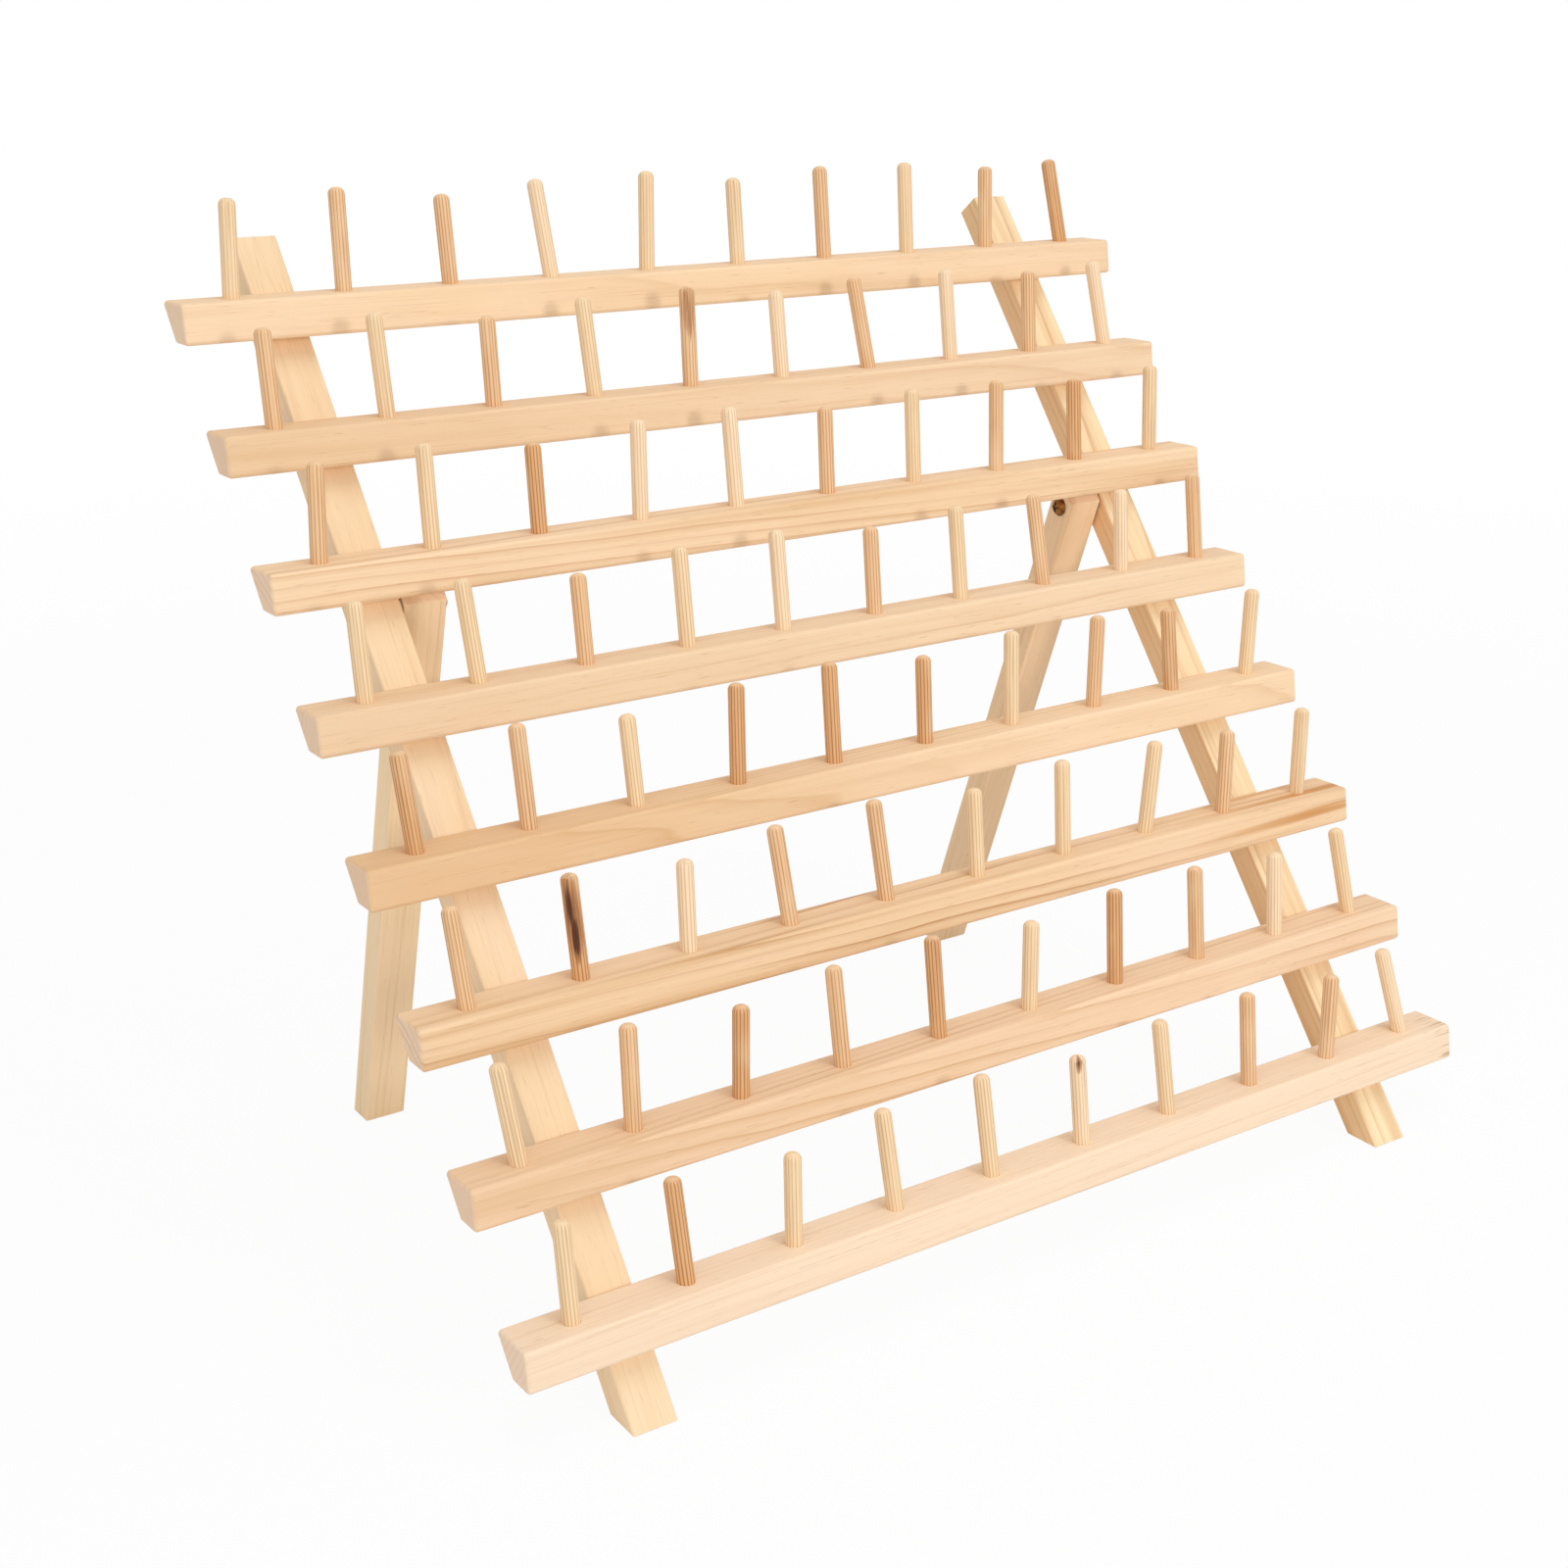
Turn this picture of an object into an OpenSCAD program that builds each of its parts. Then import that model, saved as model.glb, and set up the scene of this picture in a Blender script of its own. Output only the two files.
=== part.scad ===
// Folding thread spool rack: rows of pegs on rails across two leaning uprights, propped by two swinging legs.
// X runs along the rails, +Y points to the back and +Z is up, in millimetres.
// The origin lies on the floor, at the middle of the rack's width and depth.

/* [Rails] */
// Number of rails, one above the other
rail_count = 8; // [4:1:10]
// Depth of a rail's top, front to back
rail_top = 19.5; // [17:0.5:26]
// Height of a rail
rail_h = 14; // [11:0.5:18]
// Angle by which a rail's front face leans back
rail_front_lean = 8; // [0:0.5:15]
// Angle by which the rails' tops tip back from level
rail_tilt = 1; // [0:0.5:4]
// Radius of a rail's eased long edges
rail_edge = 1.5; // [0.5:0.1:3]
// Distance from a rail's last peg to the rail's end
rail_end = 21; // [14:0.5:32]
// Distance from an upright's outer face to the rail's end
rail_overhang = 32.5; // [26:0.5:44]
// Distance between neighbouring rails, measured along the uprights
row_pitch = 52.8; // [48:0.1:70]

/* [Pegs] */
// Number of pegs on each rail
peg_count = 10; // [4:1:14]
// Distance between neighbouring pegs
peg_pitch = 42; // [34:0.5:60]
// Diameter of a peg
peg_d = 6; // [4:0.1:8]
// Length of a peg above its rail
peg_len = 35; // [25:0.5:50]
// Distance from the back edge of a rail's top to the pegs' axis
peg_back = 11.2; // [10.5:0.1:13]
// Angle between the pegs and the line square to the rail's top
peg_rake = 7.5; // [0:0.5:15]
// Wood left in the rail under a peg's socket
socket_floor = 4; // [2:0.5:6]
// Height above the rail at which a peg reaches its full diameter
peg_root = 2; // [1:0.1:4]
// Amount by which the radius of a peg shrinks towards the end in its socket
root_taper = 0.3; // [0.1:0.05:0.5]

/* [Uprights] */
// Angle by which the uprights lean back from vertical
lean = 38; // [32:0.5:45]
// Width of an upright along the rails
upright_w = 16.5; // [14:0.5:24]
// Depth of an upright, square to its front face
upright_d = 12; // [10:0.5:18]
// Radius of the eased long edges of the uprights and legs
bar_edge = 0.8; // [0.3:0.1:2]
// Distance along the front face from the toe to the lowest rail
foot_margin = 29.2; // [20:0.1:60]
// Distance along the front face from the highest rail's place to the top end
top_margin = 21.7; // [12:0.1:60]

/* [Legs] */
// Angle by which the opened left leg leans behind vertical
left_leg_lean = 15.5; // [12:0.5:22]
// Angle by which the opened right leg leans behind vertical
right_leg_lean = 19.5; // [12:0.5:22]
// Width of a leg along the rails
leg_w = 16.5; // [12:0.5:24]
// Depth of a leg, front to back
leg_d = 12; // [10:0.5:15]
// Rail, counted from the top, under which the legs turn
pivot_rail_number = 3; // [2:1:4]
// Distance along the uprights from that rail's lower edge down to the pivot
pivot_drop = 3; // [2:0.1:8]
// Gap between the rails' backs and a folded leg
fold_gap = 0.8; // [0.6:0.1:2]
// Gap between an opened leg's bevelled top and the back of the rail that stops it
stop_gap = 0.2; // [0.1:0.05:0.5]
// Space between a leg and its upright, where the washer lies
leg_gap = 1; // [0.6:0.1:2]

/* [Fasteners] */
// Diameter of the pivot screw's smooth shoulder
shoulder_d = 5; // [4:0.1:6]
// Diameter of the pivot screw's threaded end
pivot_thread_d = 4; // [3:0.1:4]
// Wood left in the upright past the pivot screw's tip
pivot_wall = 4; // [2:0.5:8]
// Diameter of the pivot screw's domed head
pivot_head_d = 8; // [7:0.1:10]
// Height of the pivot screw's domed head
pivot_head_h = 2.4; // [2:0.1:3.5]
// Width of the slots of the cross recess
recess_w = 0.9; // [0.6:0.1:1.4]
// Length of the slots of the cross recess
recess_len = 4.2; // [3:0.1:5]
// Depth of the cross recess
recess_depth = 1.1; // [0.6:0.1:1.6]
// Diameter of the pivot washer
washer_d = 11; // [9:0.1:12]
// Thickness of the pivot washer
washer_t = 0.8; // [0.4:0.1:1.8]
// Diameter of a rail screw's shank
screw_d = 3; // [2.5:0.1:4]
// Diameter of a rail screw's countersunk head
screw_head_d = 6; // [5:0.1:8]
// Length of a rail screw's pointed tip
screw_tip = 3; // [2:0.1:5]
// Distance by which a rail screw reaches into its rail
screw_bite = 8.5; // [6:0.1:12]

/* [Clearances] */
// Glue line around pegs and screws
glue_gap = 0.05; // [0.02:0.01:0.1]
// Radial running clearance of a leg on its pivot screw
running_gap = 0.08; // [0.05:0.01:0.1]
// Play between a leg and the head of its pivot screw
head_gap = 0.2; // [0.1:0.05:0.5]
// Room left past the end of a peg or a screw in its hole
bottom_gap = 0.3; // [0.1:0.1:1]

/* [Hidden] */
$fn = 48;
// Lean of each peg to the right in whole degrees, from the left, one list for each rail from the top.
PEG_LEANS = [
    [4, 2, 0, -4, 4, 1, 1, 2, 3, -5],
    [0, -1, 1, -2, 2, 0, -5, 0, 2, -5],
    [4, 1, 1, 3, 0, 2, 2, 3, 2, 3],
    [0, -3, 0, 0, 0, 1, 0, -3, 2, 0],
    [-3, -1, -1, 3, 1, 2, 3, 5, 0, 6],
    [-3, -1, 2, -4, -3, 1, 2, 8, 5, 5],
    [-5, 2, 4, -1, 0, 4, 2, 1, 2, -6],
    [0, -2, 3, -3, -2, 0, -2, 1, 5, -9]
];
// A peg that leans right also stands this many degrees further forward for each degree of its lean.
lean_to_rake = 0.6;
// Pegs are cut by hand: this many times extra_len is added to their length, from the left.
PEG_EXTRAS = [-1, 1, -3, 1, 2, -2, 1, 1, -2, 0];
extra_len = 1;
// Rails are set by hand: each moves up along the uprights by this many times shift_len, from the top.
RAIL_SHIFTS = [-3, 0, 2, 4, 1, -2, -2, 0];
shift_len = 0.5;

peg_r = peg_d / 2;
socket_depth = rail_h - socket_floor;
rail_len = (peg_count - 1) * peg_pitch + 2 * rail_end;
upright_x = rail_len / 2 - rail_overhang - upright_w / 2;

// A rail's back is bevelled so that it lies flat on the uprights' front faces.
bevel = lean - rail_tilt;
rail_back = rail_h / cos(bevel);
upright_len = foot_margin + rail_back + (rail_count - 1) * row_pitch + top_margin;
toe_y = -(upright_len * sin(lean) + upright_d * cos(lean)) / 2;

// The pivot lies behind the uprights' front plane, so that a folded leg clears the rails' backs.
pivot_behind = fold_gap + leg_d / 2;
pivot_along = rail_along(pivot_rail_number) - rail_back - pivot_drop;
pivot_y = toe_y + pivot_behind * cos(lean) + pivot_along * sin(lean);
pivot_z = pivot_along * cos(lean) - pivot_behind * sin(lean);
leg_top = 2 * leg_d;
leg_x = upright_x - upright_w / 2 - leg_gap - leg_w / 2;

screw_len = upright_d + screw_bite;
screw_r = screw_d / 2;
screw_head_r = screw_head_d / 2;

pivot_bite = upright_w - pivot_wall;
shoulder_len = head_gap + leg_w + leg_gap;
cut_past = 1;
arc_steps = 6;
SIDES = [-1, 1];
floor_cut = 2 * upright_len;

PINE = [0.93, 0.81, 0.64];
PINE_SHADE = [0.88, 0.74, 0.55];
DOWEL = [0.85, 0.69, 0.5];
BRONZE = [0.3, 0.2, 0.12];
STEEL = [0.7, 0.7, 0.68];

RAIL_NAMES = [for (row = [1:rail_count]) str("rail_", row)];
PEG_NAMES = [for (row = [1:rail_count]) str("pegs_", row)];
UPRIGHT_NAMES = ["left_upright", "right_upright"];
LEG_NAMES = ["left_leg", "right_leg"];
RAIL_SCREW_NAMES = ["left_rail_screws", "right_rail_screws"];
PIVOT_SCREW_NAMES = ["left_pivot_screw", "right_pivot_screw"];
WASHER_NAMES = ["left_pivot_washer", "right_pivot_washer"];

// Place of the upper back edge of a rail along the upright's front face; rail 1 is the highest.
function rail_along(row) = foot_margin + rail_back + (rail_count - row) * row_pitch
    + shift_len * RAIL_SHIFTS[(row - 1) % len(RAIL_SHIFTS)];
function peg_lean(row, peg) =
    let (leans = PEG_LEANS[(row - 1) % len(PEG_LEANS)])
    leans[(peg - 1) % len(leans)];
function peg_extra(peg) = extra_len * PEG_EXTRAS[(peg - 1) % len(PEG_EXTRAS)];
function leg_lean(side) = side < 0 ? left_leg_lean : right_leg_lean;
// Unit vector from point a to point b.
function heading(a, b) = (b - a) / norm(b - a);

// Outline with straight sides through the given corners, listed clockwise, whose corners are arcs.
module eased_outline(corners, r) {
    count = len(corners);
    polygon([for (i = [0:count - 1])
        let (
            before = heading(corners[(i + count - 1) % count], corners[i]),
            after = heading(corners[i], corners[(i + 1) % count]),
            inward = heading([0, 0], after - before),
            turn = acos(before * after),
            centre = corners[i] + inward * r / cos(turn / 2),
            start = atan2(before[0], -before[1])
        )
        for (step = [0:arc_steps])
            let (angle = start - turn * step / arc_steps)
            centre + r * [cos(angle), sin(angle)]
    ]);
}

// Rectangle about the origin whose corners are arcs.
module eased_rect(size, r) {
    x = size[0] / 2;
    y = size[1] / 2;
    eased_outline([[-x, y], [x, y], [x, -y], [-x, -y]], r);
}

// Extrudes an outline of the Y-Z plane along X, about the middle.
module along_x(length) {
    rotate([90, 0, 90]) linear_extrude(length, center = true) children();
}

// Frame of the uprights: Z runs up along the front face from the toe, and Y points square behind it.
module on_slope() {
    translate([0, toe_y, 0]) rotate([-lean, 0, 0]) children();
}

// Frame of a rail: Z is square to its top and Y points back along it, from the back edge of the top.
module on_rail(row) {
    on_slope() translate([0, 0, rail_along(row)]) rotate([bevel, 0, 0]) children();
}

// Frame of a leg: Z runs up along the leg from its pivot.
module on_leg(side) {
    translate([0, pivot_y, pivot_z]) rotate([leg_lean(side), 0, 0]) children();
}

// Frame of a peg: Z runs up along its axis from the top of the rail; peg 1 is at the left.
module on_peg(row, peg) {
    tilt = peg_lean(row, peg);
    x = (peg - (peg_count + 1) / 2) * peg_pitch;
    on_rail(row) translate([x, -peg_back, 0])
        rotate([lean_to_rake * tilt - peg_rake, tilt, 0]) children();
}

// Frame of a rail screw: Z runs forward from the upright's back face, towards the middle of the rail's back.
module on_rail_screw(row) {
    on_slope() translate([0, upright_d, rail_along(row) - rail_back / 2]) rotate([90, 0, 0]) children();
}

// Frame of a pivot screw: Z runs from the head's seat outwards into the upright, on the given side.
module on_pivot(side) {
    seat = leg_x - leg_w / 2 - head_gap;
    translate([side * seat, pivot_y, pivot_z]) rotate([0, side * 90, 0]) children();
}

module below_floor() {
    translate([0, 0, -floor_cut / 2]) cube(floor_cut, center = true);
}

// Half space in front of an opened leg's bevelled top.
module before_stop() {
    on_slope() translate([0, stop_gap - floor_cut / 2, 0]) cube(floor_cut, center = true);
}

// Countersunk screw with its head's flat at Z = 0, or its hole when it is grown and led out above the flat.
module countersunk(grow, length, lead = 0) {
    head = screw_head_r - screw_r;
    rim = screw_head_r + grow;
    shank = screw_r + grow;
    start = lead > 0 ? [[0, -lead], [rim, -lead]] : [[0, 0]];
    rotate_extrude() polygon(concat(start, [
        [rim, 0], [shank, head], [shank, length - screw_tip], [0, length]
    ]));
}

module rail_screw_hole(row) {
    on_rail_screw(row) countersunk(glue_gap, screw_len + bottom_gap, cut_past);
}

module upright(side) {
    x = side * upright_x;
    color(PINE) difference() {
        on_slope() translate([x, upright_d / 2, -upright_d])
            linear_extrude(upright_d + upright_len) eased_rect([upright_w, upright_d], bar_edge);
        below_floor();
        for (row = [1:rail_count])
            translate([x, 0, 0]) rail_screw_hole(row);
        on_pivot(side) translate([0, 0, shoulder_len - cut_past])
            cylinder(d = pivot_thread_d + 2 * glue_gap, h = cut_past + pivot_bite + bottom_gap);
    }
}

// Bar whose front leans back and whose back is bevelled to sit on the uprights.
module rail(row) {
    color(PINE) difference() {
        on_rail(row) along_x(rail_len) eased_outline([
            [0, 0], [-rail_h * tan(bevel), -rail_h],
            [-rail_top - rail_h * tan(rail_front_lean), -rail_h], [-rail_top, 0]
        ], rail_edge);
        for (peg = [1:peg_count])
            on_peg(row, peg) translate([0, 0, -socket_depth])
                cylinder(r = peg_r + glue_gap, h = socket_depth + peg_root);
        for (side = SIDES)
            translate([side * upright_x, 0, 0]) rail_screw_hole(row);
    }
}

// Round dowel with a domed tip, whose tapered root is glued into its socket.
module dowel(length) {
    root_len = socket_depth - bottom_gap;
    rotate_extrude() polygon([
        [0, -root_len], [peg_r - root_taper, -root_len], [peg_r, peg_root], [peg_r, length - peg_r],
        [0, length - peg_r]
    ]);
    translate([0, 0, length - peg_r]) intersection() {
        sphere(r = peg_r);
        cylinder(r = peg_d, h = peg_d);
    }
}

module pegs(row) {
    color(DOWEL) for (peg = [1:peg_count])
        on_peg(row, peg) dowel(peg_len + peg_extra(peg));
}

// Prop with a level foot, and a bevelled top that meets the rail's back when the leg is open.
module leg(side) {
    x = side * leg_x;
    reach = pivot_z / cos(leg_lean(side)) + leg_d;
    color(PINE_SHADE) difference() {
        on_leg(side) translate([x, 0, -reach])
            linear_extrude(reach + leg_top) eased_rect([leg_w, leg_d], bar_edge);
        below_floor();
        before_stop();
        translate([x, pivot_y, pivot_z]) rotate([0, 90, 0])
            cylinder(d = shoulder_d + 2 * running_gap, h = leg_w + 2 * cut_past, center = true);
    }
}

module rail_screws(side) {
    color(STEEL) for (row = [1:rail_count])
        translate([side * upright_x, 0, 0]) on_rail_screw(row) countersunk(0, screw_len);
}

// Domed head with a cross recess, a smooth shoulder for the leg and a threaded end for the upright.
module pivot_screw(side) {
    dome_r = (pow(pivot_head_d / 2, 2) + pow(pivot_head_h, 2)) / (2 * pivot_head_h);
    color(BRONZE) on_pivot(side) difference() {
        union() {
            intersection() {
                translate([0, 0, dome_r - pivot_head_h]) sphere(r = dome_r);
                translate([0, 0, -pivot_head_h]) cylinder(d = pivot_head_d, h = pivot_head_h);
            }
            cylinder(d = shoulder_d, h = shoulder_len);
            translate([0, 0, shoulder_len]) cylinder(d = pivot_thread_d, h = pivot_bite);
        }
        for (turn = [0, 90])
            rotate(turn) translate([0, 0, -pivot_head_h])
                cube([recess_len, recess_w, 2 * recess_depth], center = true);
    }
}

// Ring that lies against the upright and keeps the leg off it.
module pivot_washer(side) {
    color(STEEL) on_pivot(side) translate([0, 0, shoulder_len - washer_t]) difference() {
        cylinder(d = washer_d, h = washer_t);
        translate([0, 0, -cut_past])
            cylinder(d = shoulder_d + 2 * running_gap, h = washer_t + 2 * cut_past);
    }
}

for (row = [1:rail_count]) {
    rail(row);
    pegs(row);
}
for (end = [0, 1]) {
    side = SIDES[end];
    upright(side);
    leg(side);
    rail_screws(side);
    pivot_screw(side);
    pivot_washer(side);
}
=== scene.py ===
"""Looks of a folding thread spool rack: pine rails, uprights and legs, dowel pegs and plated screws."""

import logging
import math
from collections.abc import Callable, Mapping, Sequence
from dataclasses import dataclass, field
from enum import Enum

import bpy
import numpy as np
from mathutils import Matrix, Vector


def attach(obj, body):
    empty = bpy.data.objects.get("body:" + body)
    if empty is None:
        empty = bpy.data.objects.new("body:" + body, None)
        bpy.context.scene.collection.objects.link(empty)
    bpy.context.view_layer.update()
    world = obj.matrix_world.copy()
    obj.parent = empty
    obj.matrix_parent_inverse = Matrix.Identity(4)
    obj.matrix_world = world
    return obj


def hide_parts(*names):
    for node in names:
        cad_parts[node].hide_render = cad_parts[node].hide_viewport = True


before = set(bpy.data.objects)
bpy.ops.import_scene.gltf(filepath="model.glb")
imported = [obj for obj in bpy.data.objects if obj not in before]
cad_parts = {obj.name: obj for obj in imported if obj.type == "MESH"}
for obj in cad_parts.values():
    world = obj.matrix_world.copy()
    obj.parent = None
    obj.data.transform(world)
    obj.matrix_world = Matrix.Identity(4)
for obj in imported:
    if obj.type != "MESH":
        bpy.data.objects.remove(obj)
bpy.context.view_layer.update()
LOG = logging.getLogger("spool_rack")
MM = 0.001
FRAME_BODY = "frame"
SHARP_DEG = 40.0
WHITE = (1.0, 1.0, 1.0, 1.0)
RIGHT = Vector((1, 0, 0))
BACK = Vector((0, 1, 0))
UP = Vector((0, 0, 1))
IN_PLACE = Matrix.Identity(4)

Colour = tuple[float, float, float, float]
Pair = tuple[float, float]
Triple = tuple[float, float, float]
Solid = tuple[np.ndarray, list[list[int]]]


def paint(red: int, green: int, blue: int) -> Colour:
    """Turns a display colour into the linear colour that shaders take.

    Args:
        red: Red from 0 to 255.
        green: Green from 0 to 255.
        blue: Blue from 0 to 255.

    Returns:
        The linear colour with full alpha.
    """
    full, toe, slope, lift, power = 255, 0.04045, 12.92, 0.055, 2.4
    shares = [level / full for level in (red, green, blue)]
    linear = [((s + lift) / (1 + lift)) ** power if s > toe else s / slope for s in shares]
    return (*linear, 1.0)


class Wire:
    """An output socket whose arithmetic adds Math nodes to its tree."""

    def __init__(self, tree: "Tree", socket: bpy.types.NodeSocket | None) -> None:
        """Keeps the socket and the tree that it belongs to."""
        self.tree = tree
        self.socket = socket

    def __add__(self, other: "Wire | float") -> "Wire":
        """Adds a value."""
        return self.tree.math("ADD", self, other)

    def __radd__(self, other: float) -> "Wire":
        """Adds this socket to a number."""
        return self.tree.math("ADD", other, self)

    def __sub__(self, other: "Wire | float") -> "Wire":
        """Takes a value away."""
        return self.tree.math("SUBTRACT", self, other)

    def __rsub__(self, other: float) -> "Wire":
        """Takes this socket away from a number."""
        return self.tree.math("SUBTRACT", other, self)

    def __mul__(self, other: "Wire | float") -> "Wire":
        """Multiplies by a value."""
        return self.tree.math("MULTIPLY", self, other)

    def __rmul__(self, other: float) -> "Wire":
        """Multiplies a number by this socket."""
        return self.tree.math("MULTIPLY", other, self)

    def __truediv__(self, other: "Wire | float") -> "Wire":
        """Divides by a value."""
        return self.tree.math("DIVIDE", self, other)

    def __rtruediv__(self, other: float) -> "Wire":
        """Divides a number by this socket."""
        return self.tree.math("DIVIDE", other, self)

    def __pow__(self, other: "Wire | float") -> "Wire":
        """Raises to a power."""
        return self.tree.math("POWER", self, other)

    def __rpow__(self, other: float) -> "Wire":
        """Raises a number to the power of this socket."""
        return self.tree.math("POWER", other, self)

    def __abs__(self) -> "Wire":
        """Gives the size without its sign."""
        return self.tree.math("ABSOLUTE", self)


class Tree:
    """A node tree that is written as Python expressions."""

    # A Mix node's colour sockets share their names with its others, so they go by number.
    MIX_INPUTS = (0, 6, 7)
    MIX_RESULT = 2

    def __init__(self, tree: bpy.types.NodeTree) -> None:
        """Empties the tree and keeps it."""
        self.tree = tree
        tree.nodes.clear()

    def add(
        self,
        kind: str,
        settings: Mapping[str, object] | None = None,
        inputs: Mapping[str | int, object] | None = None,
        output: str | int = 0,
    ) -> Wire:
        """Adds a node.

        Args:
            kind: The node's type.
            settings: Properties that are set first; "stops" fills a colour ramp.
            inputs: Values or wires by the name or number of their socket.
            output: Name or number of the output that is handed back.

        Returns:
            The chosen output, or the first one.
        """
        node = self.tree.nodes.new(kind)
        for name, value in (settings or {}).items():
            if name == "stops":
                self._set_stops(node.color_ramp.elements, value)
            else:
                setattr(node, name, value)
        for key, value in (inputs or {}).items():
            if isinstance(value, Wire):
                self.tree.links.new(value.socket, node.inputs[key])
            else:
                node.inputs[key].default_value = value
        return Wire(self, node.outputs[output] if len(node.outputs) else None)

    @staticmethod
    def _set_stops(elements: bpy.types.ColorRampElements, stops: Sequence[Pair]) -> None:
        """Fills a ramp with grey stops.

        Args:
            elements: The ramp's elements.
            stops: Positions with their brightness.
        """
        while len(elements) < len(stops):
            elements.new(1.0)
        for element, (position, grey) in zip(elements, stops):
            element.position = position
            element.color = (grey, grey, grey, 1.0)

    def math(self, operation: str, *values: Wire | float) -> Wire:
        """Adds one Math node that works on the given values."""
        return self.add("ShaderNodeMath", {"operation": operation}, dict(enumerate(values)))

    def mix(self, share: Wire | float, first: Wire | Colour, second: Wire | Colour, way: str = "MIX") -> Wire:
        """Mixes two colours.

        Args:
            share: Share of the second colour.
            first: Colour at share 0.
            second: Colour at share 1.
            way: Blend type of the Mix node.

        Returns:
            The mixed colour.
        """
        settings = {"data_type": "RGBA", "blend_type": way, "clamp_factor": True}
        inputs = dict(zip(self.MIX_INPUTS, (share, first, second)))
        return self.add("ShaderNodeMix", settings, inputs, self.MIX_RESULT)

    def ramp(self, value: Wire, stops: Sequence[Pair]) -> Wire:
        """Runs a value from 0 to 1 through a grey ramp with these stops."""
        return self.add("ShaderNodeValToRGB", {"stops": stops}, {"Fac": value})

    def step(self, value: Wire, limits: Pair) -> Wire:
        """Rises smoothly from 0 to 1 as a value goes from the first limit to the second."""
        inputs = {"Value": value, "From Min": limits[0], "From Max": limits[1]}
        return self.add("ShaderNodeMapRange", {"interpolation_type": "SMOOTHSTEP"}, inputs)

    def split(self, vector: Wire) -> tuple[Wire, Wire, Wire]:
        """Gives the three parts of a vector."""
        node = self.add("ShaderNodeSeparateXYZ", None, {0: vector}).socket.node
        return tuple(Wire(self, node.outputs[axis]) for axis in range(3))

    def join(self, x: Wire, y: Wire, z: Wire) -> Wire:
        """Gives the vector of three parts."""
        return self.add("ShaderNodeCombineXYZ", None, {0: x, 1: y, 2: z})


def new_material(name: str) -> tuple[bpy.types.Material, Tree]:
    """Makes a material with an empty node tree.

    Args:
        name: Name of the material.

    Returns:
        The material and its tree.
    """
    made = bpy.data.materials.new(name)
    made.use_nodes = True
    return made, Tree(made.node_tree)


@dataclass(frozen=True)
class Shade:
    """A colour that shows where some value passes its limits.

    Attributes:
        limits: Value at which it starts to show, and at which it shows in full.
        tint: The colour.
        share: Share of the colour where it shows in full.
    """

    limits: Pair = (0.0, 1.0)
    tint: Colour = WHITE
    share: float = 1.0

    def mask(self, value: Wire) -> Wire:
        """Gives how far the shade shows at a value, from 0 to 1."""
        return value.tree.step(value, self.limits)

    def over(self, colour: Wire, value: Wire, strength: Wire | float = 1.0, tint: Wire | None = None) -> Wire:
        """Lays the shade over a colour at some strength, with its own tint or another."""
        return colour.tree.mix(self.mask(value) * (strength * self.share), colour, tint or self.tint)


@dataclass(frozen=True)
class Layer(Shade):
    """A shade that follows stretched noise.

    Attributes:
        cells: Noise cells for each unit along X, Y and Z.
        detail: Number of finer layers of noise.
        roughness: Share of each finer layer.
        MIDDLE: Mean of the noise.
    """

    cells: Triple = (1.0, 1.0, 1.0)
    detail: float = 1.0
    roughness: float = 0.5

    MIDDLE = 0.5

    def noise(self, place: Wire, shift: Triple = (0.0, 0.0, 0.0)) -> Wire:
        """Gives the noise at a place.

        Args:
            place: The place.
            shift: Shift of the noise, in cells.

        Returns:
            Noise from 0 to 1.
        """
        tree = place.tree
        stretch = {"operation": "MULTIPLY_ADD"}
        spot = tree.add("ShaderNodeVectorMath", stretch, {0: place, 1: self.cells, 2: shift})
        inputs = {"Vector": spot, "Scale": 1.0, "Detail": self.detail, "Roughness": self.roughness}
        return tree.add("ShaderNodeTexNoise", None, inputs)


@dataclass(frozen=True)
class Skin:
    """How the grain of a finish takes the light.

    Attributes:
        roughness: Roughness where the grain is low.
        fine_roughness: Roughness that fine grain adds.
        broad_roughness: Roughness that broad grain adds.
        relief: Full height of the grain.
        strength: Share of that height that shows.
        fine_share: Share of fine grain in the height; broad grain has the rest.
        gloss: Strength of the reflection.
        metal: 1 for metal and 0 for wood.
    """

    roughness: float
    fine_roughness: float
    broad_roughness: float
    relief: float
    strength: float
    fine_share: float = 1.0
    gloss: float = 0.5
    metal: float = 0.0

    def cover(self, colour: Wire, fine: Wire, broad: Wire) -> None:
        """Ends the colour's tree in one Principled shader.

        Args:
            colour: Colour of the surface.
            fine: Fine grain, from 0 to 1.
            broad: Broad grain, from 0 to 1.
        """
        tree = colour.tree
        height = fine * self.fine_share + broad * (1 - self.fine_share)
        relief = {"Strength": self.strength, "Distance": self.relief, "Height": height}
        inputs = {
            "Base Color": colour,
            "Metallic": self.metal,
            "Roughness": self.roughness + fine * self.fine_roughness + broad * self.broad_roughness,
            "Specular IOR Level": self.gloss,
            "Normal": tree.add("ShaderNodeBump", None, relief, "Normal"),
        }
        shader = tree.add("ShaderNodeBsdfPrincipled", None, inputs)
        tree.add("ShaderNodeOutputMaterial", None, {"Surface": shader})


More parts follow.
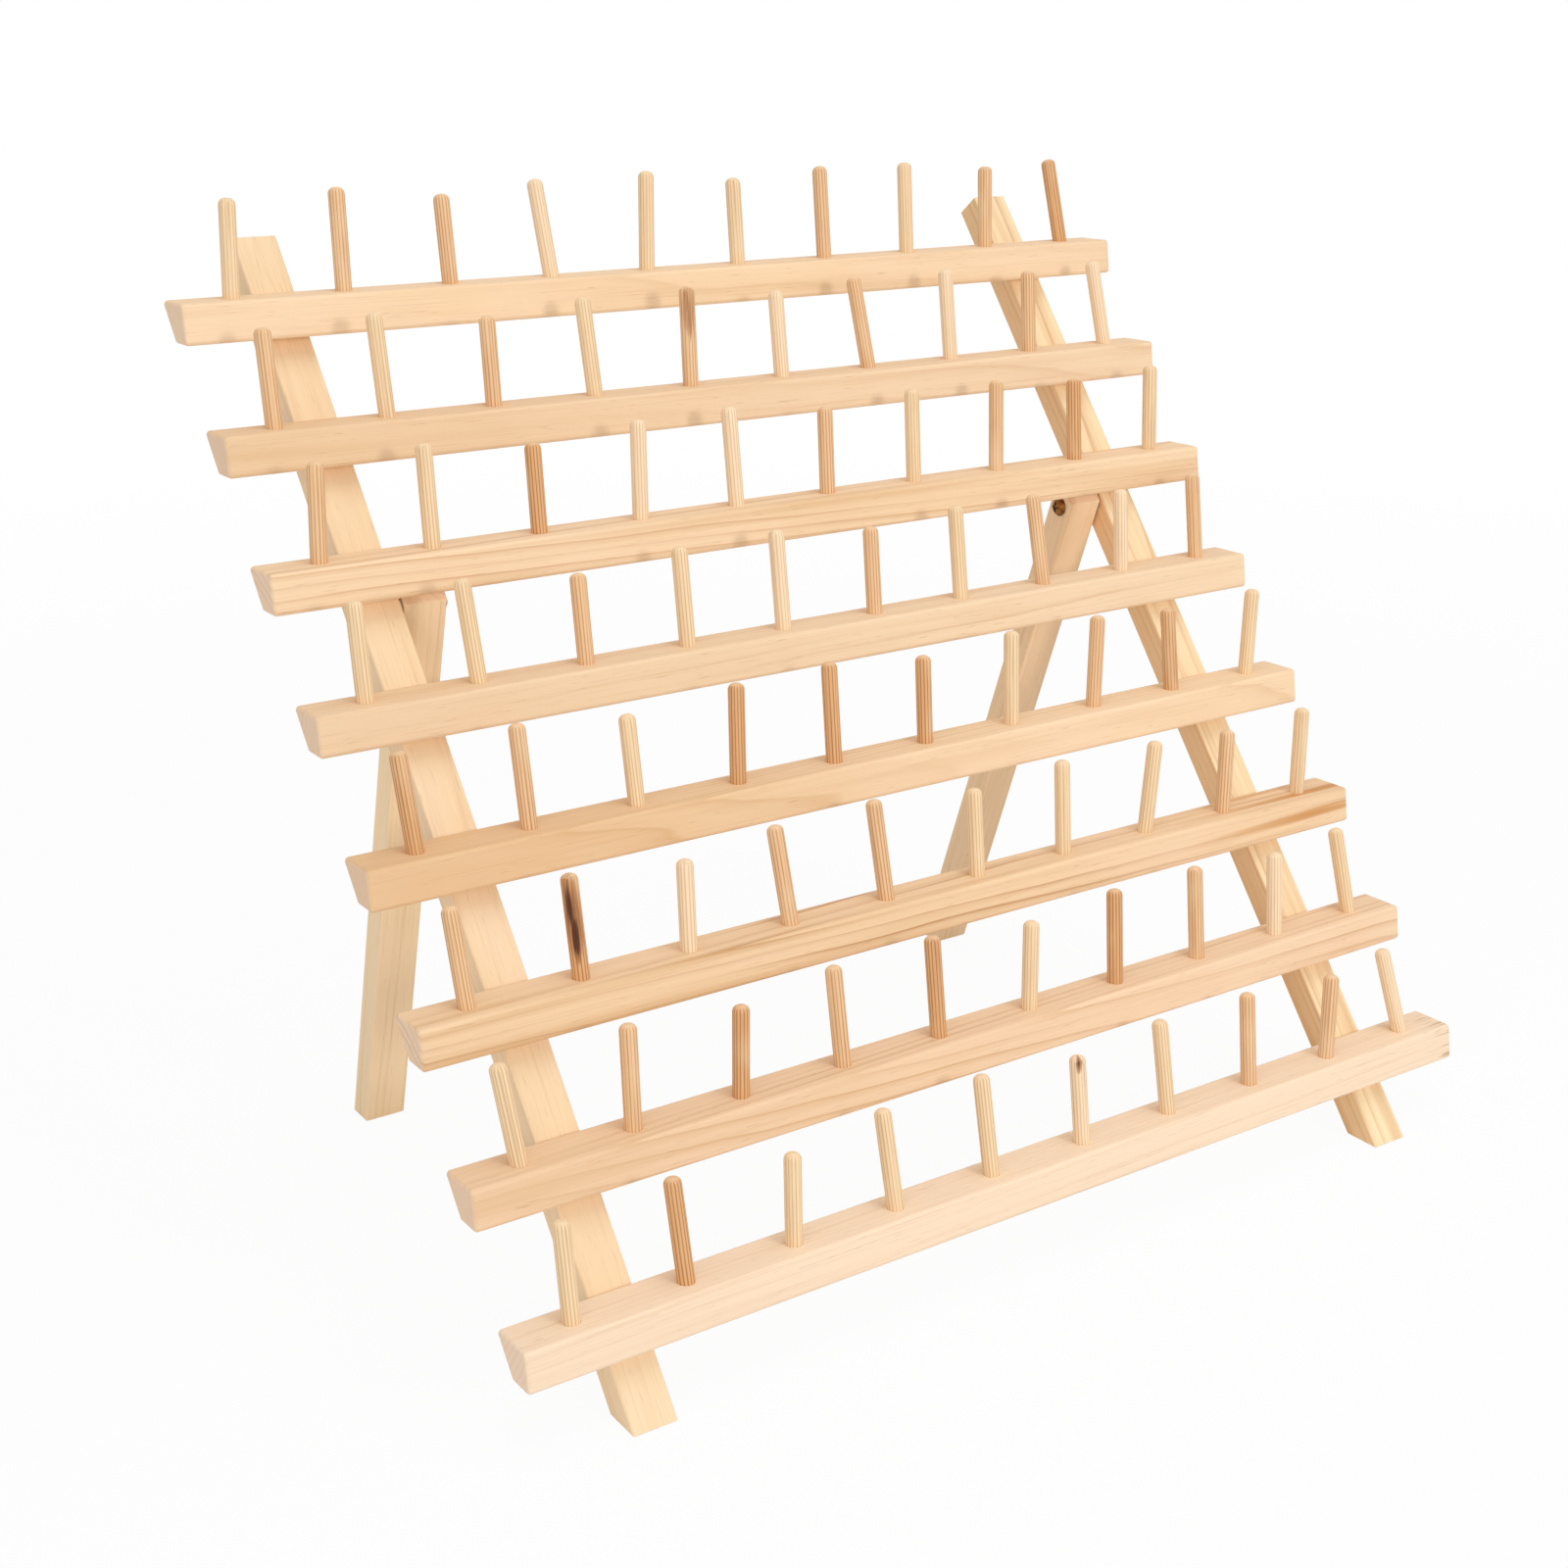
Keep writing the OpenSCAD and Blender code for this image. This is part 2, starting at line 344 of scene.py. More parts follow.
@dataclass(frozen=True)
class Pine:
    """Bare sanded pine whose grain runs along the piece's own X axis.

    Attributes:
        name: Name of the material.
        pale: Colour of the early wood.
        contrast: Share of the late wood's colour in a line.
        pith: Place of the tree's middle across the piece, as its Y and Z.
        seed: Shift of all noise, so that no two pieces look alike.
        late: Colour of the late wood lines.
        spacing: Distance between growth rings.
        slope: Drift of the rings for each metre along the piece, which draws long flames.
        streaks: Strength of the broad tan streaks.
        tan_start: Strength of the tan shade that fades out from the piece's first end.
        figured_end: Strength of the brown figure that fades out from the piece's last end.
        torn_end: Strength of the short brown lines of torn grain at the piece's last end.
        side_shade_and_grain: Strength of the brown tint on the faces across Y: partly painted shade, partly
            browner grain.
    """

    name: str
    pale: Colour
    contrast: float
    pith: Pair
    seed: float
    late: Colour = paint(208, 158, 104)
    spacing: float = 2.4 * MM
    slope: float = 0.012
    streaks: float = 0.4
    tan_start: float = 0.0
    figured_end: float = 0.0
    torn_end: float = 0.0
    side_shade_and_grain: float = 0.0

    # The growth rings: their bends and ripples, the shape of one and how dark each is.
    SEED_STEPS = (3.1, 1.7, 2.3)
    BEND = Layer(cells=(5, 45, 45), detail=2.0)
    BEND_REACH = 5 * MM
    RIPPLE = Layer(cells=(26, 240, 240))
    RIPPLE_REACH = 0.6 * MM
    RING_STOPS = ((0.0, 0.15), (0.4, 0.0), (0.78, 0.4), (0.93, 1.0), (1.0, 0.15))
    LINE = Layer((0.35, 0.68), cells=(7.31, 4, 3.7))

    # The shades over them, in the order in which they are laid; a reach is a stretch along the piece.
    STREAK = Layer((0.48, 0.78), paint(224, 182, 134), cells=(4, 150, 150), detail=2.0)
    CLOUD = Layer((0.52, 0.25), paint(252, 224, 194), share=0.3, cells=(9, 35, 35), detail=2.0)
    TAN = Shade((0.12, -0.2), paint(226, 182, 132))
    FIGURE = Layer((0.42, 0.66), paint(208, 144, 76), cells=(7, 230, 230), detail=2.0)
    FIGURE_REACH = (0.1, 0.2)
    FIBRE = Layer(
        (0.5, 0.8), paint(205, 150, 98), share=0.28, cells=(22, 1900, 1900), detail=3.0, roughness=0.6
    )
    FLECK = Layer((0.66, 0.8), paint(160, 104, 60), share=0.3, cells=(110, 2400, 2400))
    # Brown tint for the faces across Y: partly painted shade, partly browner grain.
    SIDE_SHADE_AND_GRAIN = Shade((0.6, 0.95), paint(236, 162, 84))
    TORN = Layer((0.52, 0.66), paint(150, 100, 62), cells=(60, 700, 700))
    TORN_REACH = (0.198, 0.207)
    END = Shade((0.6, 0.95), paint(246, 216, 190), share=0.55)
    END_LINE = paint(206, 160, 120)
    END_LINE_SHARE = 0.18
    SKIN = Skin(
        roughness=0.58,
        fine_roughness=0.16,
        broad_roughness=-0.06,
        relief=0.12 * MM,
        strength=0.35,
        fine_share=0.6,
        gloss=0.28,
    )

    def material(self) -> bpy.types.Material:
        """Builds the material.

        Returns:
            The finished material.
        """
        made, tree = new_material(self.name)
        place = tree.add("ShaderNodeTexCoord", output="Object")
        along = tree.split(place)[0]
        shift = tuple(self.seed * step for step in self.SEED_STEPS)
        ring, line = self._rings(place, shift)
        fibre = self.FIBRE.noise(place, shift)

        # Along the grain lie streaks, clouds, a tan start, brown figure, fine fibres and resin flecks.
        colour = tree.mix(line * self.contrast, self.pale, self.late)
        colour = self.STREAK.over(colour, self.STREAK.noise(place, shift), self.streaks)
        colour = self.CLOUD.over(colour, self.CLOUD.noise(place, shift))
        colour = self.TAN.over(colour, along, self.tan_start)
        figured = tree.step(along, self.FIGURE_REACH) * self.figured_end
        colour = self.FIGURE.over(colour, self.FIGURE.noise(place, shift), figured)
        colour = self.FIBRE.over(colour, fibre)
        colour = self.FLECK.over(colour, self.FLECK.noise(place, shift))

        # Cut ends are a little paler and show the rings; the grain beside the last one may be torn.
        end_turn, side_turn, _ = tree.split(tree.add("ShaderNodeTexCoord", output="Normal"))
        # The faces across Y darken: partly painted shade, partly browner grain.
        colour = self.SIDE_SHADE_AND_GRAIN.over(colour, abs(side_turn), self.side_shade_and_grain)
        end = self.END.mask(abs(end_turn))
        torn = tree.step(along, self.TORN_REACH) * (1 - end) * self.torn_end
        colour = self.TORN.over(colour, self.TORN.noise(place, shift), torn)
        colour = self.END.over(colour, abs(end_turn))
        colour = tree.mix(end * ring * self.END_LINE_SHARE, colour, self.END_LINE)
        self.SKIN.cover(colour, fibre, ring)
        return made

    def _rings(self, place: Wire, shift: Triple) -> tuple[Wire, Wire]:
        """Draws growth rings about the pith, bent a little by noise.

        Args:
            place: Point in the piece's own frame.
            shift: Shift of the noise.

        Returns:
            The rings, from early wood at 0 to late wood at 1, and the same with a darkness for each one.
        """
        tree = place.tree
        along, across, depth = tree.split(place)
        side = across - self.pith[0]
        rise = depth - self.pith[1]
        radius = (side * side + rise * rise) ** 0.5
        bend = (self.BEND.noise(place, shift) - Layer.MIDDLE) * self.BEND_REACH
        ripple = (self.RIPPLE.noise(place, shift) - Layer.MIDDLE) * self.RIPPLE_REACH
        turns = (radius + along * self.slope + bend + ripple) / self.spacing
        ring = tree.ramp(tree.math("FRACT", turns), self.RING_STOPS)
        count = tree.math("FLOOR", turns)
        darkness = self.LINE.noise(tree.join(count, along, count), (self.seed, 0, 0))
        return ring, ring * self.LINE.mask(darkness)


@dataclass(frozen=True)
class DowelWood:
    """Turned hardwood dowel whose tone and stains come with each peg.

    Attributes:
        radius: Radius of a dowel.
        name: Name of the material.
        lines: Number of lengthwise grain lines around a dowel.
        wander: Reach of a line's wandering, in line spacings.
        line_strength: Strength of the lines on a black dowel.
        line_fade: Strength that the brightness of a dowel takes away from its lines.
        raggedness: Reach of the fibres into a stain's rim.
        rim_rise: Rise of that reach with the stain's darkness.
    """

    radius: float
    name: str = "dowel_wood"
    lines: int = 15
    wander: float = 0.8
    line_strength: float = 1.5
    line_fade: float = 1.4
    raggedness: float = 1.4
    rim_rise: float = 4.0

    # The lines on the wall, which starts between these shares of the radius, and the shades over them.
    DRIFT = Layer(cells=(260, 260, 7))
    WALL_REACH = (0.6, 0.97)
    LINE_STOPS = ((0.0, 0.0), (0.5, 0.0), (0.72, 1.0), (0.85, 1.0), (1.0, 0.0))
    LINE = Layer((0.1, 0.5), cells=(5.3, 14, 5))
    DEPTH = paint(172, 142, 114)
    STREAK = Layer((0.55, 0.75), share=0.25, cells=(700, 700, 12))
    FIBRE = Layer((0.5, 0.8), share=0.4, cells=(2600, 2600, 45), detail=3.0, roughness=0.65)
    CLOUD = Layer((0.5, 0.8), paint(250, 224, 186), share=0.3, cells=(120, 120, 40))
    TIP = paint(246, 216, 180)
    TIP_SHARE = 0.4
    HALO = Shade((0.05, 0.55), paint(158, 100, 58), share=0.75)
    CORE = Shade((0.5, 1.1), paint(84, 44, 18))
    SKIN = Skin(
        roughness=0.52,
        fine_roughness=0.2,
        broad_roughness=0.0,
        relief=0.1 * MM,
        strength=0.5,
        fine_share=0.7,
        gloss=0.35,
    )

    def material(self) -> bpy.types.Material:
        """Builds the material from the pegs' own attributes.

        Returns:
            The finished material.
        """
        made, tree = new_material(self.name)
        place = tree.add("ShaderNodeAttribute", {"attribute_name": PegRow.PLACE}, output="Vector")
        tone = tree.add("ShaderNodeAttribute", {"attribute_name": PegRow.TONE}, output="Color")
        stain = tree.add("ShaderNodeAttribute", {"attribute_name": PegRow.STAIN}, output="Fac")
        right, front, along = tree.split(place)
        fibre = self.FIBRE.noise(place)

        # Lines run along the wall, and the darker the dowel, the clearer they are.
        drift = (self.DRIFT.noise(place) - Layer.MIDDLE) * self.wander
        turns = tree.math("ARCTAN2", front, right) * (self.lines / (2 * math.pi)) + drift
        wall = tree.step((right * right + front * front) ** 0.5 / self.radius, self.WALL_REACH)
        ring = tree.ramp(tree.math("FRACT", turns), self.LINE_STOPS) * wall
        darkness = self.LINE.noise(tree.join(tree.math("FLOOR", turns), along, along))
        bright = tree.add("ShaderNodeRGBToBW", None, {"Color": tone})
        clear = self.line_strength - bright * self.line_fade
        deep = tree.mix(1.0, tone, self.DEPTH, "MULTIPLY")
        colour = self.LINE.over(tone, darkness, ring * clear, deep)
        colour = self.STREAK.over(colour, self.STREAK.noise(place), tint=deep)
        colour = self.FIBRE.over(colour, fibre, tint=deep)
        colour = self.CLOUD.over(colour, self.CLOUD.noise(place))

        # Rounded tips show paler end grain.
        colour = tree.mix((1 - wall) * self.TIP_SHARE, colour, self.TIP)

        # Old sap and knots: a brown halo about a nearly black core that breaks up along the fibres.
        rim = tree.math("MINIMUM", stain * self.rim_rise, 1.0)
        ragged = stain + (fibre - Layer.MIDDLE) * self.raggedness * rim
        colour = self.HALO.over(colour, ragged)
        colour = self.CORE.over(colour, ragged)
        self.SKIN.cover(colour, fibre, ring)
        return made


@dataclass(frozen=True)
class Plating:
    """Plated screw metal with dull patches and fine turning marks.

    Attributes:
        name: Name of the material.
        bright: Colour where the plating is clean.
        dull: Colour in the patches where it has gone dull.
        roughness: Roughness of the clean plating.
    """

    name: str
    bright: Colour
    dull: Colour
    roughness: float

    PATCH = Layer((0.35, 0.7), cells=(420, 420, 420), detail=3.0)
    MARK = Layer(cells=(900, 3800, 3800), detail=2.0)

    @classmethod
    def zinc(cls, name: str) -> "Plating":
        """Gives bright zinc under a name of its own."""
        return cls(name, bright=paint(206, 206, 200), dull=paint(168, 168, 164), roughness=0.28)

    def material(self) -> bpy.types.Material:
        """Builds the material.

        Returns:
            The finished material.
        """
        made, tree = new_material(self.name)
        place = tree.add("ShaderNodeTexCoord", output="Object")
        patch = self.PATCH.noise(place)
        mark = self.MARK.noise(place)
        skin = Skin(
            self.roughness, fine_roughness=0.1, broad_roughness=0.2, relief=0.03 * MM, strength=0.2, metal=1.0
        )
        skin.cover(tree.mix(self.PATCH.mask(patch), self.bright, self.dull), mark, patch)
        return made


def make_piece(
    name: str,
    points: np.ndarray,
    faces: Sequence[Sequence[int]],
    place: Matrix = IN_PLACE,
    sharp_deg: float = SHARP_DEG,
) -> bpy.types.Object:
    """Makes a smooth-shaded object from points in its own frame.

    Args:
        name: Name of the piece.
        points: Points in the piece's own frame.
        faces: Corners of each face.
        place: Matrix that sets the piece in the rack's frame.
        sharp_deg: Angle between faces above which an edge stays sharp.

    Returns:
        The linked object.
    """
    mesh = bpy.data.meshes.new(name)
    mesh.from_pydata([tuple(p) for p in points], [], faces)
    mesh.validate()
    mesh.shade_smooth()
    mesh.set_sharp_from_angle(angle=math.radians(sharp_deg))
    piece = bpy.data.objects.new(name, mesh)
    bpy.context.scene.collection.objects.link(piece)
    piece.matrix_world = place
    return piece


def tube_faces(count: int, rings: int) -> list[list[int]]:
    """Gives the faces of a tube of rings with a cap on each end.

    Args:
        count: Number of corners of each ring.
        rings: Number of rings.

    Returns:
        The corners of each face.
    """
    faces = [list(range(count))[::-1]]
    top = (rings - 1) * count
    for low in range(0, top, count):
        for k in range(count):
            after = (k + 1) % count
            faces.append([low + k, low + after, low + count + after, low + count + k])
    faces.append(list(range(top, top + count)))
    return faces


def lathe(profile: Sequence[Pair], segments: int, place: Matrix) -> Solid:
    """Turns a profile about the Z axis into a closed solid.

    Args:
        profile: Radius and height of each ring, from the bottom up.
        segments: Number of corners of each ring.
        place: Matrix that sets the solid in its frame.

    Returns:
        Its points and faces.
    """
    angles = [2 * math.pi * k / segments for k in range(segments)]
    points = [place @ Vector((r * math.cos(a), r * math.sin(a), z)) for r, z in profile for a in angles]
    return np.array(points), tube_faces(segments, len(profile))


def slab(size: Vector, place: Matrix) -> Solid:
    """Makes a box about the origin of its frame.

    Args:
        size: Its lengths along X, Y and Z.
        place: Matrix that sets the box in its frame.

    Returns:
        Its points and faces.
    """
    halves = (-0.5, 0.5)
    shares = [(x, y, z) for z in halves for y in halves for x in halves]
    points = [place @ Vector((x * size.x, y * size.y, z * size.z)) for x, y, z in shares]
    faces = [[0, 2, 3, 1], [4, 5, 7, 6], [0, 1, 5, 4], [2, 6, 7, 3], [0, 4, 6, 2], [1, 3, 7, 5]]
    return np.array(points), faces


def gather(solids: Sequence[Solid]) -> Solid:
    """Joins separate solids into one list of points and faces.

    Args:
        solids: Points and faces of each solid.

    Returns:
        All points and all faces.
    """
    points: list[np.ndarray] = []
    faces: list[list[int]] = []
    count = 0
    for solid_points, solid_faces in solids:
        points.append(solid_points)
        faces.extend([[count + corner for corner in face] for face in solid_faces])
        count += len(solid_points)
    return np.vstack(points), faces


def bake(piece: bpy.types.Object) -> None:
    """Turns a piece's modifiers into its mesh.

    Args:
        piece: The piece.
    """
    bpy.context.view_layer.update()
    graph = bpy.context.evaluated_depsgraph_get()
    piece.data = bpy.data.meshes.new_from_object(piece.evaluated_get(graph))
    piece.modifiers.clear()


def bore(piece: bpy.types.Object, cutters: Sequence[Solid], sharp_deg: float = SHARP_DEG) -> None:
    """Cuts holes into a piece.

    Args:
        piece: The piece that is cut.
        cutters: Each hole's solid, in the rack's frame.
        sharp_deg: Angle between faces above which an edge is sharp.
    """
    tool = make_piece("cutter", *gather(cutters))
    cut = piece.modifiers.new("holes", "BOOLEAN")
    cut.operation = "DIFFERENCE"
    cut.solver = "EXACT"
    cut.object = tool
    bake(piece)
    piece.data.set_sharp_from_angle(angle=math.radians(sharp_deg))
    bpy.data.objects.remove(tool)


def even_out(piece: bpy.types.Object) -> None:
    """Lets the wide flat faces rule the shading of the narrow rounds beside them.

    Args:
        piece: The piece.
    """
    evened = piece.modifiers.new("even_shading", "WEIGHTED_NORMAL")
    evened.keep_sharp = True
    bake(piece)


def axis_frame(origin: Vector, axis: Vector, hint: Vector) -> Matrix:
    """Gives the frame with X along an axis and Z as near as it can be to a hint.

    Args:
        origin: Origin of the frame.
        axis: Direction of X.
        hint: Direction that Z leans towards.

    Returns:
        The frame's matrix.
    """
    x = axis.normalized()
    y = hint.cross(x).normalized()
    z = x.cross(y)
    turned = Matrix((x, y, z)).transposed().to_4x4()
    return Matrix.Translation(origin) @ turned


def node_points(node: str) -> np.ndarray:
    """Gives the corners of a frame node's mesh as an array."""
    return np.array([v.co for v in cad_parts[node].data.vertices], float)


class Side(Enum):
    """A side of the rack, as seen from the front."""

    LEFT = "left"
    RIGHT = "right"

    def inwards(self) -> Vector:
        """Gives the direction from this side to the rack's middle."""
        return RIGHT if self is Side.LEFT else -RIGHT

    def named(self, piece: str) -> str:
        """Gives the name of this side's piece."""
        return f"{self.value}_{piece}"


@dataclass
class Bar:
    """A straight bar with the section and the end cuts of its frame node, and softly broken end edges.

    Attributes:
        node: Name of the frame node.
        axis: Direction along the bar.
        hint: Direction that the section's Z axis leans towards.
        ease: Radius of the broken edges at the ends.
        ease_steps: Number of steps in a broken edge.
        merge: Grid on which the section's corners fall together.
        straight: Distance from a straight line below which a corner doesn't count.
        near: Distance within which a corner of the node lies on a line along the bar.
    """

    node: str
    axis: Vector
    hint: Vector
    ease: float = 0.5 * MM
    ease_steps: int = 3
    merge: float = 0.005 * MM
    straight: float = 0.01 * MM
    near: float = 0.02 * MM

    def build(self) -> bpy.types.Object:
        """Builds the bar around its own X axis.

        Returns:
            The bar.
        """
        points = node_points(self.node)
        place = axis_frame(Vector(points.mean(0)), self.axis, self.hint)
        inverse = np.array(place.inverted())
        local = points @ inverse[:3, :3].T + inverse[:3, 3]
        outline = self._outline(local[:, 1:])
        ends = [self._end_plane(local, outline, pick) for pick in (np.min, np.max)]
        rings = self._rings(outline, ends)
        faces = tube_faces(len(outline), len(rings))
        return make_piece(self.node + "_wood", np.vstack(rings), faces, place)

    def _outline(self, flat: np.ndarray) -> np.ndarray:
        """Finds the convex outline of all corners seen along the bar.

        Args:
            flat: Section coordinates of the corners.

        Returns:
            The outline's points, counter-clockwise.
        """
        corners = sorted({tuple(np.round(p / self.merge) * self.merge) for p in flat})
        chains = []
        for order in (corners, corners[::-1]):
            chain: list[Pair] = []
            for p in order:
                while len(chain) > 1:
                    a, b = np.subtract(chain[-1], chain[-2]), np.subtract(p, chain[-2])
                    if a[0] * b[1] - a[1] * b[0] > self.straight * math.hypot(*b):
                        break
                    chain.pop()
                chain.append(p)
            chains.append(chain[:-1])
        return np.array(chains[0] + chains[1])

    def _end_plane(
        self, local: np.ndarray, outline: np.ndarray, pick: Callable[[np.ndarray], float]
    ) -> np.ndarray:
        """Fits the plane of one end cut.

        Args:
            local: Corners of the node in the bar's frame.
            outline: Points of the outline.
            pick: Function that picks the first or last place along the bar.

        Returns:
            The plane's height at the axis and its rise along Y and Z.
        """
        lengths = []
        for p in outline:
            on_line = np.abs(local[:, 1:] - p).max(1) < self.near
            lengths.append(pick(local[on_line, 0]))
        table = np.column_stack([np.ones(len(outline)), outline])
        return np.linalg.lstsq(table, np.array(lengths), rcond=None)[0]

    def _rings(self, outline: np.ndarray, ends: Sequence[np.ndarray]) -> list[np.ndarray]:
        """Lays the outline's rings from the first end to the last, drawn in at both ends.

        Args:
            outline: Points of the outline.
            ends: Planes of the two end cuts.

        Returns:
            The points of each ring.
        """
        normals = np.zeros_like(outline)
        for edges in (outline - np.roll(outline, 1, 0), np.roll(outline, -1, 0) - outline):
            normals += np.column_stack([edges[:, 1], -edges[:, 0]]) / np.linalg.norm(edges, axis=1)[:, None]
        normals /= np.linalg.norm(normals, axis=1)[:, None]
        turns = [math.pi / 2 * k / self.ease_steps for k in range(self.ease_steps + 1)]
        insets = [(self.ease * (1 - math.sin(t)), self.ease * (1 - math.cos(t))) for t in turns]
        rings = []
        for inward, plane, steps in ((1, ends[0], insets), (-1, ends[1], insets[::-1])):
            for drawn_in, length in steps:
                flat = outline - normals * drawn_in
                along = plane[0] + flat @ plane[1:] + inward * length
                rings.append(np.column_stack([along, flat]))
        return rings


@dataclass
class Rod:
    """The straight axis of one round solid in a frame node.

    Attributes:
        low: Middle of its lower or first end.
        axis: Direction towards its other end.
        length: Its length.
        CROSSWISE: Share of X in the direction of a rod that lies across the rack.
        DIGITS: Decimals to which corners are told apart.
        END_DEPTH: Depth within which corners belong to one end.
    """

    low: Vector
    axis: Vector
    length: float

    CROSSWISE = 0.9
    DIGITS = 7
    END_DEPTH = 0.01 * MM

    def matrix(self) -> Matrix:
        """Gives the frame with Z along the rod, X towards the rack's right and its origin at the first end.

        Returns:
            The frame's matrix; on a rod across the rack X points to the back.
        """
        side = RIGHT if abs(self.axis.x) < self.CROSSWISE else BACK
        x = (side - self.axis * side.dot(self.axis)).normalized()
        turned = Matrix((x, self.axis.cross(x), self.axis)).transposed().to_4x4()
        return Matrix.Translation(self.low) @ turned

    @classmethod
    def row(cls, node: str, count: int, order: Vector, hint: Vector) -> list["Rod"]:
        """Finds the axes of a row of round solids in one frame node.

        Args:
            node: Name of the node.
            count: Number of solids.
            order: Direction along the row.
            hint: Rough direction of the axes.

        Returns:
            The rods, in their order along the row.
        """
        points = node_points(node)
        reach = points @ np.array(order)
        ranks = np.argsort(reach)
        gaps = np.argsort(np.diff(reach[ranks]))[len(ranks) - count :]
        return [cls.among(points[part], hint) for part in np.split(ranks, np.sort(gaps) + 1)]

    @classmethod
    def among(cls, points: np.ndarray, hint: Vector) -> "Rod":
        """Finds the axis of a round solid.

        Args:
            points: Corners of its mesh.
            hint: Rough direction of the axis.

        Returns:
            The rod.
        """
        corners = np.unique(np.round(points, cls.DIGITS), axis=0)
        main = np.linalg.svd(corners - corners.mean(0), full_matrices=False)[2][0]
        main = main * np.sign(main @ np.array(hint))
        heights = corners @ main
        first = corners[heights < heights.min() + cls.END_DEPTH].mean(0)
        tip = corners[heights > heights.max() - cls.END_DEPTH].mean(0)
        axis = Vector(tip - first)
        return cls(Vector(first), axis.normalized(), axis.length)


class PegTone(Enum):
    """Tones of dowel, from the palest to the darkest, named by a letter."""

    CREAM = ("c", paint(254, 226, 189))
    HONEY = ("h", paint(250, 219, 176))
    TAN = ("t", paint(242, 199, 152))
    BROWN = ("b", paint(230, 178, 125))

    @classmethod
    def of(cls, letter: str) -> Colour:
        """Gives the colour that a letter stands for."""
        return next(tone.value[1] for tone in cls if tone.value[0] == letter)


@dataclass(frozen=True)
class PegMark:
    """A dark mark on one peg.

    Attributes:
        rail: Number of the rail, from the top.
        peg: Number of the peg, from the left.
        facing_deg: Direction that the mark faces, about the peg from the rack's right.
        height: Height of the mark's middle above the rail.
        reach: Half its length along the peg.
        spread_deg: Half its width around the peg.
        depth: Darkness of its middle.
    """

    rail: int
    peg: int
    facing_deg: float
    height: float
    reach: float
    spread_deg: float
    depth: float

    def amount(self, angle: float, height: float) -> float:
        """Gives the darkness at a point.

        Args:
            angle: Direction of the point about the peg.
            height: Its height above the rail.

        Returns:
            The darkness, which is 0 outside the mark.
        """
        turn = (math.degrees(angle) - self.facing_deg + 180) % 360 - 180
        away = math.hypot(turn / self.spread_deg, (height - self.height) / self.reach)
        return self.depth * max(0.0, 1 - away * away)


@dataclass
class PegRow:
    """The ten dowel pegs of one rail.

    Attributes:
        rail: Number of the rail, from the top.
        tones: Letter of each peg's tone, from the left.
        marks: Dark marks on the pegs of all rails.
        radius: Radius of a peg.
        dome: Height of the rounded tip.
        dome_turns_deg: Angles of the rings on the tip.
        dome_power: Power that rounds the tip, which is fuller than an ellipse below 1.
        socket: Depth of the peg in its rail.
        segments: Number of corners around a peg.
        rings: Number of steps along its straight wall.
        peg_turn: Turn of the grain from one peg to the next.
        rail_turn: Turn of the grain from one rail to the next.
        peg_shift: Shift of the grain from one peg to the next.
        rail_shift: Shift of the grain from one rail to the next.
    """

    rail: int
    tones: str
    marks: Sequence[PegMark]
    radius: float = 3 * MM
    dome: float = 2.4 * MM
    dome_turns_deg: Sequence[float] = (15, 30, 45, 58, 70, 80)
    dome_power: float = 0.8
    socket: float = 9.7 * MM
    segments: int = 24
    rings: int = 18
    peg_turn: float = 2.4
    rail_turn: float = 1.3
    peg_shift: float = 0.07
    rail_shift: float = 0.83

    PLACE = "peg_place"
    TONE = "peg_tone"
    STAIN = "peg_stain"

    def rods(self) -> list[Rod]:
        """Finds the pegs' axes in the frame node, from the left."""
        return Rod.row(f"pegs_{self.rail}", len(self.tones), RIGHT, UP)

    def profile(self, length: float) -> list[Pair]:
        """Gives the radius and height of each ring of a peg.

        Args:
            length: Whole length of the peg.

        Returns:
            The rings, from the glued end up.
        """
        wall_top = length - self.dome
        rows = [(self.radius, wall_top * k / self.rings) for k in range(self.rings + 1)]
        for turn in map(math.radians, self.dome_turns_deg):
            radius = self.radius * math.cos(turn) ** self.dome_power
            rows.append((radius, wall_top + self.dome * math.sin(turn)))
        return rows

    def build(self) -> bpy.types.Object:
        """Builds the row as one piece of separate dowels, with tone, stain and grain place on each point.

        Returns:
            The row.
        """
        solids, places, tones, stains = [], [], [], []
        angles = [2 * math.pi * k / self.segments for k in range(self.segments)]
        for number, (rod, letter) in enumerate(zip(self.rods(), self.tones), 1):
            profile = self.profile(rod.length)
            solids.append(lathe(profile, self.segments, rod.matrix()))
            turn = Matrix.Rotation(self.peg_turn * number + self.rail_turn * self.rail, 3, "Z")
            shift = UP * (self.peg_shift * number + self.rail_shift * self.rail)
            marks = [m for m in self.marks if (m.rail, m.peg) == (self.rail, number)]
            for radius, height in profile:
                for angle in angles:
                    local = Vector((radius * math.cos(angle), radius * math.sin(angle), height))
                    places.append(turn @ local + shift)
                    tones.append(PegTone.of(letter))
                    stains.append(max([m.amount(angle, height - self.socket) for m in marks], default=0.0))
        row = make_piece(f"peg_row_{self.rail}", *gather(solids))
        for name, kind, key, values in (
            (self.PLACE, "FLOAT_VECTOR", "vector", places),
            (self.TONE, "FLOAT_COLOR", "color", tones),
            (self.STAIN, "FLOAT", "value", stains),
        ):
            layer = row.data.attributes.new(name, kind, "POINT")
            layer.data.foreach_set(key, np.array(values, np.float32).ravel())
        return row


